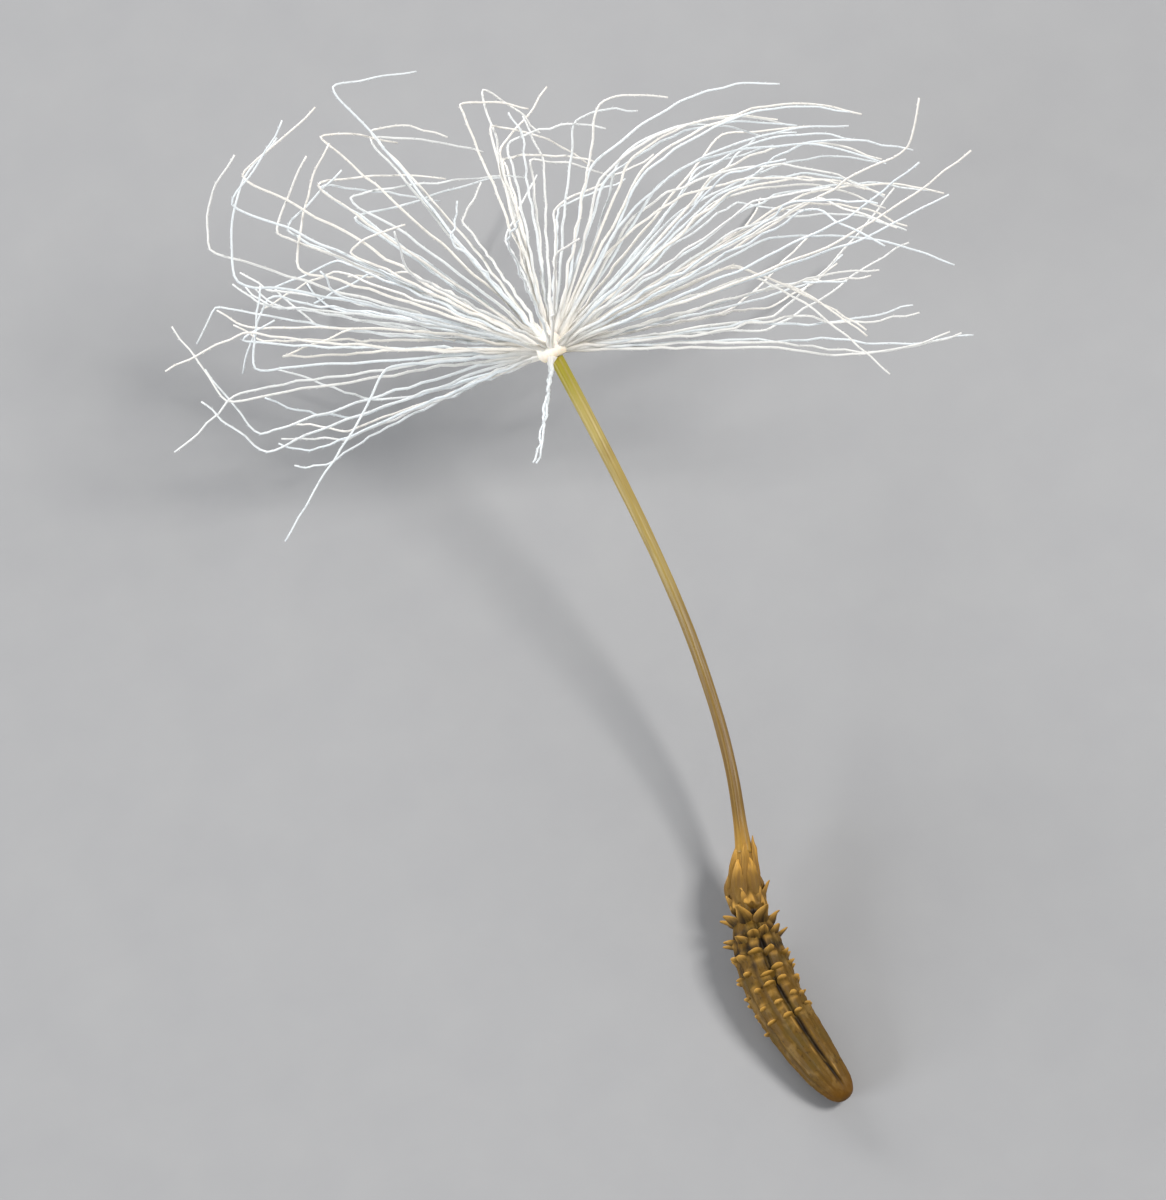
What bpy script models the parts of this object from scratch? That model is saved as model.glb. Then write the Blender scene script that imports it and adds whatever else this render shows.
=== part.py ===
"""One dandelion seed, lying on a surface.

The seed is a single dry fruit with three organs: the achene, a ribbed brown body with rows of
upward teeth and a short cone on top; the beak, a long thin stalk; and the pappus, a small disc
with about a hundred white bristles. It lies along +Y. The achene rests on a small flat spot whose
centre is the origin, and the ends of two low bristles touch the surface at z = 0.
"""

import math
import random

import bmesh
import bpy
from mathutils import Matrix, Vector

MM = 0.001

# The seed's centre line, from the achene's round tip to the pappus disc, in millimetres.
SEED_LINE = (
    (0.26, -0.95, 0.235),
    (0.015, 0.00, 0.325),
    (-0.13, 0.95, 0.43),
    (-0.08, 1.80, 0.57),
    (0.09, 2.65, 0.69),
    (0.30, 3.25, 0.82),
    (0.60, 4.70, 1.26),
    (0.70, 6.40, 1.80),
    (0.62, 8.00, 2.33),
    (0.46, 9.45, 2.85),
    (0.26, 10.85, 3.40),
)
LINE_STEPS = 24
ACHENE_LENGTH = 4.18 * MM
JOINT_GAP = 0.01 * MM
SHARP_ANGLE = math.radians(40)

# The achene's radius along its length, both in millimetres: tip, belly, neck, cone.
ACHENE_PROFILE = (
    (0.00, 0.07),
    (0.04, 0.145),
    (0.14, 0.215),
    (0.30, 0.270),
    (0.55, 0.322),
    (0.95, 0.364),
    (1.45, 0.393),
    (2.10, 0.402),
    (2.55, 0.385),
    (2.85, 0.345),
    (3.08, 0.285),
    (3.24, 0.222),
    (3.33, 0.264),
    (3.50, 0.258),
    (3.72, 0.232),
    (3.92, 0.192),
    (4.06, 0.164),
    (4.18, 0.146),
)
PROFILE_STEPS = 2
ACHENE_SIDES = 40
ACHENE_THICKNESS = 0.94

# Ten grooves run along the achene and leave ten ridges. Their depths are shares of the radius.
# The first one is the deep one on the upper side, and the others follow round to the left.
GROOVES = (0.15, 0.05, 0.06, 0.05, 0.11, 0.05, 0.11, 0.05, 0.08, 0.04)
GROOVE_WIDTH = math.radians(9)
FIRST_GROOVE = math.radians(84)
# The grooves reach their full depth this far from the round tip, and fade again below the cone.
GROOVE_FADE_IN = 0.25 * MM
GROOVE_END = 3.3 * MM
GROOVE_FADE_OUT = 0.5 * MM
GROOVE_LEAST = 0.25

# Rings of teeth, from the long scales that hug the cone down to the last bumps on the ridges:
# place along the achene, number of teeth, tooth length, half its width, and its lean away from
# the achene in degrees. A tooth is wide across its ridge and thin in the other direction.
TOOTH_RINGS = (
    (3.66, 5, 0.64, 0.140, -10),
    (3.40, 6, 0.46, 0.085, 20),
    (3.03, 7, 0.56, 0.135, 44),
    (2.76, 10, 0.36, 0.104, 48),
    (2.49, 10, 0.25, 0.100, 44),
    (2.23, 10, 0.20, 0.096, 42),
    (1.98, 10, 0.17, 0.092, 40),
    (1.73, 10, 0.15, 0.090, 40),
    (1.47, 10, 0.14, 0.086, 40),
)
TOOTH_SIDES = 6
TOOTH_THICKNESS = 0.55
TOOTH_TIP = 0.10
TOOTH_SUNK = 0.42
TOOTH_INSET = 0.25
TOOTH_ANGLE_JITTER = math.radians(7)
TOOTH_PLACE_JITTER = 0.06
TOOTH_LENGTHS = (0.75, 1.15)
TOOTH_LEAN_JITTER = 9.0
TOOTH_CLEARANCE = 0.03 * MM
TOOTH_SEED = 11

BEAK_RADIUS_LOW = 0.084 * MM
BEAK_RADIUS_TOP = 0.105 * MM
BEAK_FLARE = 0.054 * MM
BEAK_FLARE_LENGTH = 0.35 * MM
BEAK_SIDES = 10
BEAK_STEPS = 32

HUB_RADIUS = 0.24 * MM
HUB_HALF_HEIGHT = 0.20 * MM
HUB_SEAT = 0.7
HUB_SIDES = 16
HUB_RINGS = 8

BRISTLE_SIDES = 3
BRISTLE_STEPS = 9
BRISTLE_ROOT_RADIUS = 0.027 * MM
BRISTLE_TIP_RADIUS = 0.015 * MM
BRISTLE_SUNK = 0.10 * MM
# A bristle's random differences: how far its root turns away from its clump, in degrees, its
# length as a share, the place of its kink in steps, and its turn at the kink as a share. The
# crinkle turns each step by up to this many degrees, and by more after the kink.
ROOT_WANDER = 14.0
BRISTLE_LENGTHS = (0.94, 1.06)
KINK_JITTER = 0.6
KINK_TURNS = (0.85, 1.10)
CRINKLE = 3.0
TIP_CRINKLE = 6.0
FOOT_HEIGHT = 0.027 * MM
BRISTLE_CLEARANCE = 0.40 * MM
PAPPUS_SEED = 5
# The fan's plane is rolled about the beak's line by this many degrees, left side down.
FAN_ROLL = -13.0

# The bristles stand in clumps. Angles are in degrees. Swing is measured in the plane of the fan,
# from the beak's line, positive to the right. Lift is measured out of that plane, positive
# upwards. Each clump has its swing, lift, number of bristles, spread within the clump, length in
# millimetres, the place of its kink as a share of its length, the turn in swing and in lift at
# the kink, and the bow that bends it between its kink and its tip.
CLUMPS = (
    (-81, -42, 2, 4, 6.0, 0.80, 20, 8, 0),
    (-87, -24, 4, 5, 4.7, 0.85, 30, 0, 0),
    (-74, -12, 3, 3, 6.0, 0.80, 68, 0, 0),
    (-71, 8, 1, 0, 5.8, 0.44, -50, 0, 0),
    (-67, 4, 2, 2, 6.0, 0.84, -30, 0, 0),
    (-66, 0, 1, 0, 6.0, 0.78, 110, 0, 0),
    (-60, 2, 2, 2, 5.0, 0.80, 160, 0, 0),
    (-53, -16, 2, 4, 5.9, 0.84, -75, 0, 0),
    (-51, -12, 7, 4, 5.1, 0.88, 30, -10, 0),
    (-48, 0, 2, 2, 6.8, 0.70, 72, 0, 65),
    (-47, 4, 1, 0, 6.2, 0.68, 85, 0, 30),
    (-42, 4, 2, 2, 5.4, 0.74, 100, 0, 10),
    (-39, 8, 1, 0, 4.4, 0.80, 120, 0, 20),
    (-37, 4, 2, 1, 6.7, 0.78, 112, 0, 0),
    (-28, 0, 4, 3, 6.4, 0.64, 140, -30, 10),
    (-16, 2, 3, 2, 6.2, 0.68, 135, -30, 20),
    (-10, 10, 2, 4, 2.9, 0.78, 60, 0, 0),
    (-9, 4, 1, 0, 5.4, 0.76, 115, 0, 60),
    (11, 0, 3, 2, 4.9, 0.70, 125, -20, 30),
    (18, -4, 3, 3, 4.5, 0.66, 90, -10, 40),
    (25, 0, 2, 2, 3.7, 0.80, -25, 0, 0),
    (38, 2, 2, 1, 4.6, 0.76, 65, 0, 40),
    (44, 4, 3, 2, 6.0, 0.48, 34, 0, 60),
    (51, 2, 2, 2, 5.2, 0.62, 35, 0, 60),
    (57, 4, 3, 2, 6.2, 0.44, 28, 0, 60),
    (60, 6, 3, 3, 6.1, 0.34, 15, 0, 75),
    (72, -4, 5, 5, 6.1, 0.48, 20, 0, 50),
    (83, 0, 7, 6, 6.2, 0.60, 22, 0, 40),
    (90, 10, 1, 0, 6.9, 0.82, -52, 0, 20),
    (88, 20, 2, 5, 6.2, 0.70, 55, 0, 10),
    (93, 4, 3, 4, 5.5, 0.62, 40, 0, 25),
    (97, 14, 3, 3, 6.8, 0.74, -10, 0, 0),
    (103, -8, 3, 3, 4.8, 0.80, 10, 0, 0),
    (110, -14, 2, 2, 6.2, 0.55, -36, 0, 0),
    (113, -4, 3, 2, 6.2, 0.55, 8, 0, -30),
    (111, 0, 2, 1, 5.3, 0.55, 16, 0, -24),
    (-45, 52, 2, 12, 6.0, 0.80, 40, 0, 0),
    (15, 66, 2, 18, 6.0, 0.80, 60, 0, 0),
    (75, 48, 3, 14, 6.0, 0.80, 30, 0, 10),
    (-145, 50, 2, 3, 2.6, 0.85, 10, 0, 0),
    (104, -48, 3, 5, 6.3, 0.85, -20, 20, 0),
    (-32, -42, 4, 9, 5.8, 0.80, -50, 20, 0),
    (25, -52, 4, 14, 5.4, 0.78, 60, 30, 0),
    (66, -40, 4, 9, 6.2, 0.80, 40, 10, 0),
)
# The two bristles that carry the pappus, in the same form. Their ends lie on the surface, and all
# the others stay clear of it.
FEET = (
    (-45, -47, 1, 0, 6.3, 0.85, 20, 0, 0),
    (85, -53, 1, 0, 6.3, 0.85, -20, 0, 0),
)

BROWN = (0.32, 0.19, 0.06)
BROWN_ROUGHNESS = 0.6
STRAW = (0.50, 0.40, 0.17)
STRAW_ROUGHNESS = 0.5
WHITE = (0.86, 0.86, 0.83)
WHITE_ROUGHNESS = 0.45


def smooth_curve(points, steps):
    """Points along a smooth curve that passes through the given ones."""
    ends = [2 * points[0] - points[1], *points, 2 * points[-1] - points[-2]]
    curve = []
    for before, start, end, after in zip(ends, ends[1:], ends[2:], ends[3:]):
        for step in range(steps):
            t = step / steps
            bend_in = (end - before) * 0.5
            bend_out = (after - start) * 0.5
            offset = end - start
            curve.append(
                start
                + bend_in * t
                + (3 * offset - 2 * bend_in - bend_out) * t**2
                + (bend_in + bend_out - 2 * offset) * t**3
            )
    return [*curve, points[-1].copy()]


class Line:
    """A smooth line through points, read by the distance along it."""

    def __init__(self, points):
        self.points = smooth_curve(points, LINE_STEPS)
        self.runs = [0.0]
        for start, end in zip(self.points, self.points[1:]):
            self.runs.append(self.runs[-1] + (end - start).length)
        self.length = self.runs[-1]

    def at(self, run):
        """The point at this distance, and the line's direction there."""
        last = len(self.points) - 2
        index = next((i for i in range(last) if self.runs[i + 1] > run), last)
        start, end = self.points[index], self.points[index + 1]
        share = (run - self.runs[index]) / (self.runs[index + 1] - self.runs[index])
        return start.lerp(end, share), (end - start).normalized()


def side_and_top(direction):
    """Two directions square to this one: level to the right of it, and upwards."""
    side = direction.cross(Vector((0, 0, 1))).normalized()
    return side, side.cross(direction)


def material(name, colour, roughness):
    """A Principled material of one colour."""
    made = bpy.data.materials.new(name)
    made.use_nodes = True
    shader = made.node_tree.nodes["Principled BSDF"]
    shader.inputs["Base Color"].default_value = (*colour, 1)
    shader.inputs["Roughness"].default_value = roughness
    shader.inputs["Metallic"].default_value = 0
    return made


def tube(rings):
    """A closed mesh extruded from the first ring of points through all the others."""
    bm = bmesh.new()
    face = bm.faces.new([bm.verts.new(point) for point in rings[0]])
    for ring in rings[1:]:
        face = bmesh.ops.extrude_discrete_faces(bm, faces=[face])["faces"][0]
        for loop, point in zip(face.loops, ring):
            loop.vert.co = point
    bmesh.ops.holes_fill(bm, edges=[edge for edge in bm.edges if edge.is_boundary])
    bmesh.ops.recalc_face_normals(bm, faces=bm.faces)
    return bm


def add_object(name, bm, collection):
    """Makes the mesh an object of this collection."""
    mesh = bpy.data.meshes.new(name)
    bm.to_mesh(mesh)
    bm.free()
    made = bpy.data.objects.new(name, mesh)
    collection.objects.link(made)
    return made


def keep_skin(mesh):
    """Keeps the outer skin alone, so that sealed hollows are filled and loose scraps are gone."""
    bm = bmesh.new()
    bm.from_mesh(mesh)
    left = set(bm.verts)
    groups = []
    while left:
        group = {left.pop()}
        front = list(group)
        while front:
            near = {edge.other_vert(vert) for vert in front for edge in vert.link_edges}
            front = list(near - group)
            group |= near
        left -= group
        groups.append(group)
    groups.sort(key=len)
    bmesh.ops.delete(bm, geom=[vert for group in groups[:-1] for vert in group], context="VERTS")
    bm.to_mesh(mesh)
    bm.free()


def fuse(body, repeats):
    """Joins every object of the collection to the body, which becomes one closed mesh."""
    join = body.modifiers.new("Join", "BOOLEAN")
    join.operation = "UNION"
    join.operand_type = "COLLECTION"
    join.collection = repeats
    join.solver = "MANIFOLD"
    graph = bpy.context.evaluated_depsgraph_get()
    fused = bpy.data.meshes.new_from_object(body.evaluated_get(graph))
    body.modifiers.clear()
    body.data = fused
    keep_skin(fused)
    for helper in list(repeats.objects):
        bpy.data.objects.remove(helper)
    bpy.data.collections.remove(repeats)


def finish(body, look):
    """Gives a node its material and shades it smooth, with its sharp edges kept."""
    body.data.materials.clear()
    body.data.materials.append(look)
    body.data.shade_smooth()
    body.data.set_sharp_from_angle(angle=SHARP_ANGLE)


def helpers(name):
    """A collection for the repeats that are about to be fused."""
    made = bpy.data.collections.new(name)
    bpy.context.scene.collection.children.link(made)
    return made


def groove_depth(angle):
    """How deep the grooves cut at this angle round the achene, as a share of its radius."""
    depth = 0.0
    for number, cut in enumerate(GROOVES):
        centre = FIRST_GROOVE + math.tau * number / len(GROOVES)
        away = (angle - centre + math.pi) % math.tau - math.pi
        depth += cut * math.exp(-((away / GROOVE_WIDTH) ** 2))
    return depth


def groove_share(run):
    """The grooves fade at the round tip and below the cone."""
    fade_in = min(1.0, run / GROOVE_FADE_IN)
    fade_out = min(1.0, max(GROOVE_LEAST, (GROOVE_END - run) / GROOVE_FADE_OUT))
    return fade_in * fade_out


def achene_point(centre, direction, radius, angle, run):
    """A point of the achene's surface, at this angle from its right-hand side."""
    side, top = side_and_top(direction)
    reach = radius * (1 - groove_share(run) * groove_depth(angle))
    return centre + reach * (math.cos(angle) * side + ACHENE_THICKNESS * math.sin(angle) * top)


def radius_at(profile, run):
    """The achene's radius at this distance along it."""
    for start, end in zip(profile, profile[1:]):
        if end.x >= run:
            return start.lerp(end, (run - start.x) / (end.x - start.x)).y
    return profile[-1].y


def make_achene(line):
    """The ribbed body, cut flat where it rests, with its teeth and scales."""
    profile = smooth_curve([Vector(pair) * MM for pair in ACHENE_PROFILE], PROFILE_STEPS)
    rings = []
    for run, radius in profile:
        centre, direction = line.at(run)
        angles = [math.tau * i / ACHENE_SIDES + FIRST_GROOVE for i in range(ACHENE_SIDES)]
        rings.append([achene_point(centre, direction, radius, a, run) for a in angles])
    bm = tube(rings)
    cut = bmesh.ops.bisect_plane(
        bm,
        geom=[*bm.verts, *bm.edges, *bm.faces],
        plane_co=(0, 0, 0),
        plane_no=(0, 0, 1),
        clear_inner=True,
    )
    rim = [edge for edge in cut["geom_cut"] if isinstance(edge, bmesh.types.BMEdge)]
    bmesh.ops.holes_fill(bm, edges=rim)
    bmesh.ops.recalc_face_normals(bm, faces=bm.faces)
    body = add_object("achene", bm, bpy.context.scene.collection)

    teeth = helpers("Teeth")
    draw = random.Random(TOOTH_SEED)
    for place, count, length, half_width, lean in TOOTH_RINGS:
        for number in range(count):
            angle = FIRST_GROOVE + math.tau * (number + 0.5) / count
            angle += draw.uniform(-TOOTH_ANGLE_JITTER, TOOTH_ANGLE_JITTER)
            run = (place + draw.uniform(-TOOTH_PLACE_JITTER, TOOTH_PLACE_JITTER)) * MM
            long = length * draw.uniform(*TOOTH_LENGTHS) * MM
            tilt = math.radians(lean + draw.uniform(-TOOTH_LEAN_JITTER, TOOTH_LEAN_JITTER))
            centre, direction = line.at(run)
            foot = achene_point(centre, direction, radius_at(profile, run), angle, run)
            away = (foot - centre).normalized()
            points = math.cos(tilt) * direction + math.sin(tilt) * away
            if (foot + points * long).z < TOOTH_CLEARANCE:
                continue
            across = points.cross(away).normalized()
            turn = Matrix((across, points.cross(across), points)).transposed().to_4x4()
            flatten = Matrix.Diagonal((1, TOOTH_THICKNESS, 1, 1))
            middle = foot + points * long * (0.5 - TOOTH_SUNK) - away * half_width * TOOTH_INSET * MM
            tooth = bmesh.new()
            bmesh.ops.create_cone(
                tooth,
                cap_ends=True,
                segments=TOOTH_SIDES,
                radius1=half_width * MM,
                radius2=half_width * TOOTH_TIP * MM,
                depth=long,
                matrix=Matrix.Translation(middle) @ turn @ flatten,
            )
            add_object("tooth", tooth, teeth)
    fuse(body, teeth)
    finish(body, material("achene", BROWN, BROWN_ROUGHNESS))


def make_beak(line, end):
    """The stalk from the achene's cone to the pappus disc, widest at its top."""
    start = ACHENE_LENGTH + JOINT_GAP
    length = end - start
    rings = []
    for step in range(BEAK_STEPS + 1):
        share = step / BEAK_STEPS
        centre, direction = line.at(start + share * length)
        side, top = side_and_top(direction)
        radius = BEAK_RADIUS_LOW + (BEAK_RADIUS_TOP - BEAK_RADIUS_LOW) * share
        radius += BEAK_FLARE * math.exp(-share * length / BEAK_FLARE_LENGTH)
        angles = [math.tau * i / BEAK_SIDES for i in range(BEAK_SIDES)]
        rings.append([centre + radius * (math.cos(a) * side + math.sin(a) * top) for a in angles])
    body = add_object("beak", tube(rings), bpy.context.scene.collection)
    finish(body, material("beak", STRAW, STRAW_ROUGHNESS))


class Fan:
    """The pappus's own directions, which follow the end of the beak."""

    def __init__(self, line):
        self.centre, self.ahead = line.at(line.length)
        roll = Matrix.Rotation(math.radians(FAN_ROLL), 3, self.ahead)
        side, top = side_and_top(self.ahead)
        self.side, self.top = roll @ side, roll @ top

    def direction(self, swing, lift):
        """The direction at these two angles, in degrees."""
        swing, lift = math.radians(swing), math.radians(lift)
        level = math.cos(swing) * self.ahead + math.sin(swing) * self.side
        return math.cos(lift) * level + math.sin(lift) * self.top


def bristle_lines(fan):
    """The centre line of every bristle, clump by clump."""
    draw = random.Random(PAPPUS_SEED)
    lines = []
    for clump in (*CLUMPS, *FEET):
        swing, lift, count, spread, length, kink_at, kink, kink_lift, bow = clump
        lowest = FOOT_HEIGHT if clump in FEET else BRISTLE_CLEARANCE
        for _ in range(count):
            heading = swing + draw.uniform(-spread, spread)
            pitch = lift + draw.uniform(-spread, spread)
            long = length * draw.uniform(*BRISTLE_LENGTHS) * MM
            kink_step = round(kink_at * BRISTLE_STEPS + draw.uniform(-KINK_JITTER, KINK_JITTER))
            root = fan.direction(
                heading + draw.uniform(-ROOT_WANDER, ROOT_WANDER),
                pitch + draw.uniform(-ROOT_WANDER, ROOT_WANDER),
            )
            points = [fan.centre + root * BRISTLE_SUNK]
            for step in range(BRISTLE_STEPS):
                crinkle = TIP_CRINKLE if step > kink_step else CRINKLE
                heading += draw.uniform(-crinkle, crinkle)
                pitch += draw.uniform(-crinkle, crinkle)
                if step == kink_step:
                    heading += kink * draw.uniform(*KINK_TURNS)
                    pitch += kink_lift
                elif step > kink_step:
                    heading += bow / (BRISTLE_STEPS - kink_step)
                point = points[-1] + fan.direction(heading, pitch) * long / BRISTLE_STEPS
                point.z = max(point.z, lowest)
                points.append(point)
            lines.append(points)
    return lines


def bristle_rings(points):
    """Three-sided rings along a bristle, thinner towards its tip."""
    rings = []
    ahead = points[1] - points[0]
    side = ahead.orthogonal().normalized()
    for index, point in enumerate(points):
        before = points[max(index - 1, 0)]
        after = points[min(index + 1, len(points) - 1)]
        turned = after - before
        side = ahead.rotation_difference(turned) @ side
        ahead = turned
        other = ahead.cross(side).normalized()
        share = index / (len(points) - 1)
        radius = BRISTLE_ROOT_RADIUS + (BRISTLE_TIP_RADIUS - BRISTLE_ROOT_RADIUS) * share
        angles = [math.tau * i / BRISTLE_SIDES for i in range(BRISTLE_SIDES)]
        rings.append([point + radius * (math.cos(a) * side + math.sin(a) * other) for a in angles])
    return rings


def make_pappus(fan, seat):
    """The disc on the end of the beak, and the bristles that grow out of it."""
    turn = fan.ahead.to_track_quat("Z", "Y").to_matrix().to_4x4()
    flatten = Matrix.Diagonal((1, 1, HUB_HALF_HEIGHT / HUB_RADIUS, 1))
    hub = bmesh.new()
    bmesh.ops.create_uvsphere(
        hub,
        u_segments=HUB_SIDES,
        v_segments=HUB_RINGS,
        radius=HUB_RADIUS,
        matrix=Matrix.Translation(fan.centre) @ turn @ flatten,
    )
    cut = bmesh.ops.bisect_plane(
        hub,
        geom=[*hub.verts, *hub.edges, *hub.faces],
        plane_co=seat,
        plane_no=fan.ahead,
        clear_inner=True,
    )
    rim = [edge for edge in cut["geom_cut"] if isinstance(edge, bmesh.types.BMEdge)]
    bmesh.ops.holes_fill(hub, edges=rim)
    bmesh.ops.recalc_face_normals(hub, faces=hub.faces)
    body = add_object("pappus", hub, bpy.context.scene.collection)
    bristles = helpers("Bristles")
    for points in bristle_lines(fan):
        add_object("bristle", tube(bristle_rings(points)), bristles)
    fuse(body, bristles)
    finish(body, material("pappus", WHITE, WHITE_ROUGHNESS))


def main():
    for old in list(bpy.data.objects):
        bpy.data.objects.remove(old)
    line = Line([Vector(point) * MM for point in SEED_LINE])
    fan = Fan(line)
    beak_end = line.length - HUB_SEAT * HUB_HALF_HEIGHT
    make_achene(line)
    make_beak(line, beak_end)
    make_pappus(fan, line.at(beak_end + JOINT_GAP)[0])


main()
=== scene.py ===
# %% [markdown]
# # A dandelion seed, dressed for the camera
#
# The CAD model gives the seed its true size and place: a brown achene, a long beak and a fan of
# white bristles. It has few faces, because a physics engine has to carry it. This lesson builds the
# same seed again with the fine relief, the colours and the thin hairs that a close photo shows.
# Everything is in metres, so a length in millimetres is written as a number times MM.

import math
import random
from collections import namedtuple

import bmesh
import bpy
from mathutils import Matrix, Vector, noise


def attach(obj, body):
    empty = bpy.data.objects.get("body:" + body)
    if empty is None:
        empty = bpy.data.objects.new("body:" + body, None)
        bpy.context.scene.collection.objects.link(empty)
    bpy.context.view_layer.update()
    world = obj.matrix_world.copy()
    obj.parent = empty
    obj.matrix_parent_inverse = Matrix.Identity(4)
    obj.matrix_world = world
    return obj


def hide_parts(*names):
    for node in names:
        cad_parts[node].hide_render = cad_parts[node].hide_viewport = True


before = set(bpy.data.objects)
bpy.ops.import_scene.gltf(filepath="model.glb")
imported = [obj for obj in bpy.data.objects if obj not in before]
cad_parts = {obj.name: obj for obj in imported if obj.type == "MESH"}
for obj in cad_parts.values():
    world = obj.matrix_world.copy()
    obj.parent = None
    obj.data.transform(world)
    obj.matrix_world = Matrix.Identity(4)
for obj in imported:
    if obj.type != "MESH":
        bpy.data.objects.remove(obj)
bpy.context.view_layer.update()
MM = 0.001
Z_AXIS = Vector((0, 0, 1))
print("CAD nodes:", sorted(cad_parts))

# %% [markdown]
# ## The camera
#
# The seed lies on a surface and was seen from above at a slant. A macro lens works from far away
# for its subject's size, so parallel edges stay almost parallel. A long lens does the same here.
# The camera's three directions come from its azimuth and its elevation. The aim is the middle of
# the picture, which is given by its distance from the place where the bristles meet. The picture
# shows colours as they are, without a film's curve, which would grey the brown body and dim the
# white bristles.

# %% The camera at the photo's viewing angle
VIEW_AZIMUTH = math.radians(-22)
VIEW_ELEVATION = math.radians(65)
FRAME_HEIGHT = 18.18 * MM
LENS = 300.0
SENSOR = 36.0
DISTANCE = FRAME_HEIGHT * LENS / SENSOR
CLIP_START = 0.01
CLIP_END = 20
# The bristles meet here, in millimetres. The aim lies to the right of it in the picture, and down.
PAPPUS_PLACE = (0.26, 10.85, 3.40)
AIM_RIGHT = 0.47 * MM
AIM_DOWN = 3.79 * MM

right = Vector((math.cos(VIEW_AZIMUTH), math.sin(VIEW_AZIMUTH), 0))
back = Vector(
    (
        math.sin(VIEW_AZIMUTH) * math.cos(VIEW_ELEVATION),
        -math.cos(VIEW_AZIMUTH) * math.cos(VIEW_ELEVATION),
        math.sin(VIEW_ELEVATION),
    )
)
up = back.cross(right)
aim = Vector(PAPPUS_PLACE) * MM + AIM_RIGHT * right - AIM_DOWN * up

camera = bpy.data.objects.new("camera", bpy.data.cameras.new("camera"))
camera.data.lens = LENS
camera.data.sensor_width = SENSOR
camera.data.clip_start = CLIP_START
camera.data.clip_end = CLIP_END
camera.location = aim + back * DISTANCE
camera.rotation_euler = back.to_track_quat("Z", "Y").to_euler()
bpy.context.scene.collection.objects.link(camera)
bpy.context.scene.camera = camera
bpy.context.scene.view_settings.view_transform = "Standard"
print("camera stands", round(DISTANCE / MM), "mm from the seed")

# %% [markdown]
# ## Shader maths as plain expressions
#
# A material is a graph of nodes. Written out socket by socket it is long and hard to read. The
# class below wraps one output socket and gives it the arithmetic operators, so that a line such
# as `1 - groove * 0.5` adds its own Math nodes. Every other node comes from one method.

# %% A small class for node graphs
class Channel:
    """One output of a node, which can be used in arithmetic."""

    def __init__(self, look, socket):
        self.look = look
        self.socket = socket

    def maths(self, operation, left, right):
        return self.look.node("ShaderNodeMath", {"operation": operation}, {0: left, 1: right})

    def __add__(self, other):
        return self.maths("ADD", self, other)

    def __radd__(self, other):
        return self.maths("ADD", other, self)

    def __sub__(self, other):
        return self.maths("SUBTRACT", self, other)

    def __rsub__(self, other):
        return self.maths("SUBTRACT", other, self)

    def __mul__(self, other):
        return self.maths("MULTIPLY", self, other)

    def __rmul__(self, other):
        return self.maths("MULTIPLY", other, self)

    def step(self, low, high):
        """0 below the low value, 1 above the high one, and smooth between them."""
        settings = {"interpolation_type": "SMOOTHSTEP"}
        return self.look.node("ShaderNodeMapRange", settings, {0: self, 1: low, 2: high})


class Look:
    """A material's node graph, built from expressions."""

    def __init__(self, name, **fixed):
        self.material = bpy.data.materials.new(name)
        self.material.use_nodes = True
        self.tree = self.material.node_tree
        self.shader = self.tree.nodes["Principled BSDF"]
        for socket, value in fixed.items():
            self.shader.inputs[socket.replace("_", " ")].default_value = value

    def fill(self, socket, value):
        """Links a channel to a socket, or writes a value into it."""
        if isinstance(value, Channel):
            self.tree.links.new(value.socket, socket)
        else:
            socket.default_value = value

    def node(self, kind, settings, sockets, out=0):
        """Adds a node with its settings and its sockets' values, and returns one output."""
        made = self.tree.nodes.new(kind)
        for name, value in settings.items():
            setattr(made, name, value)
        for key, value in sockets.items():
            self.fill(made.inputs[key], value)
        return Channel(self, made.outputs[out])

    def attribute(self, name, out="Fac"):
        return self.node("ShaderNodeAttribute", {"attribute_name": name}, {}, out)

    def mix(self, share, start, end):
        """A colour between two others."""
        # A Mix node takes its colours at sockets 6 and 7, and gives one at output 2.
        colours = {0: share, 6: start, 7: end}
        return self.node("ShaderNodeMix", {"data_type": "RGBA"}, colours, 2)

    def stretch(self, vector, scale):
        """The vector with each of its three parts multiplied."""
        settings = {"operation": "MULTIPLY"}
        return self.node("ShaderNodeVectorMath", settings, {0: vector, 1: scale})

    def cloud(self, vector, scale, detail=3.0):
        """A soft random pattern between 0 and 1."""
        sockets = {"Vector": vector, "Scale": scale, "Detail": detail}
        return self.node("ShaderNodeTexNoise", {}, sockets)

    def along(self, skin):
        """The part of the skin coordinates that runs along the piece, in millimetres."""
        return self.node("ShaderNodeSeparateXYZ", {}, {0: skin}, 2)

    def finish(self, height, distance, **links):
        """Feeds the shader's varying sockets and its bump, and returns the material."""
        for socket, value in links.items():
            self.fill(self.shader.inputs[socket.replace("_", " ")], value)
        sockets = {"Height": height, "Distance": distance, "Strength": 1.0}
        self.fill(self.shader.inputs["Normal"], self.node("ShaderNodeBump", {}, sockets))
        return self.material


def paint(red, green, blue):
    """A colour as a screen shows it, from 0 to 255, in the linear values that a shader takes."""
    shares = [value / 255 for value in (red, green, blue)]
    return (*[s / 12.92 if s <= 0.04045 else ((s + 0.055) / 1.055) ** 2.4 for s in shares], 1)


# %% [markdown]
# ## The table and the light
#
# The seed lies on a plain pale surface. White hairs on a pale ground need light that grazes it:
# the ground catches little of a low light, and the round hairs catch all of it. So two low soft
# lights stand behind and beside the seed, and one high soft light shapes the brown body.

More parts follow.
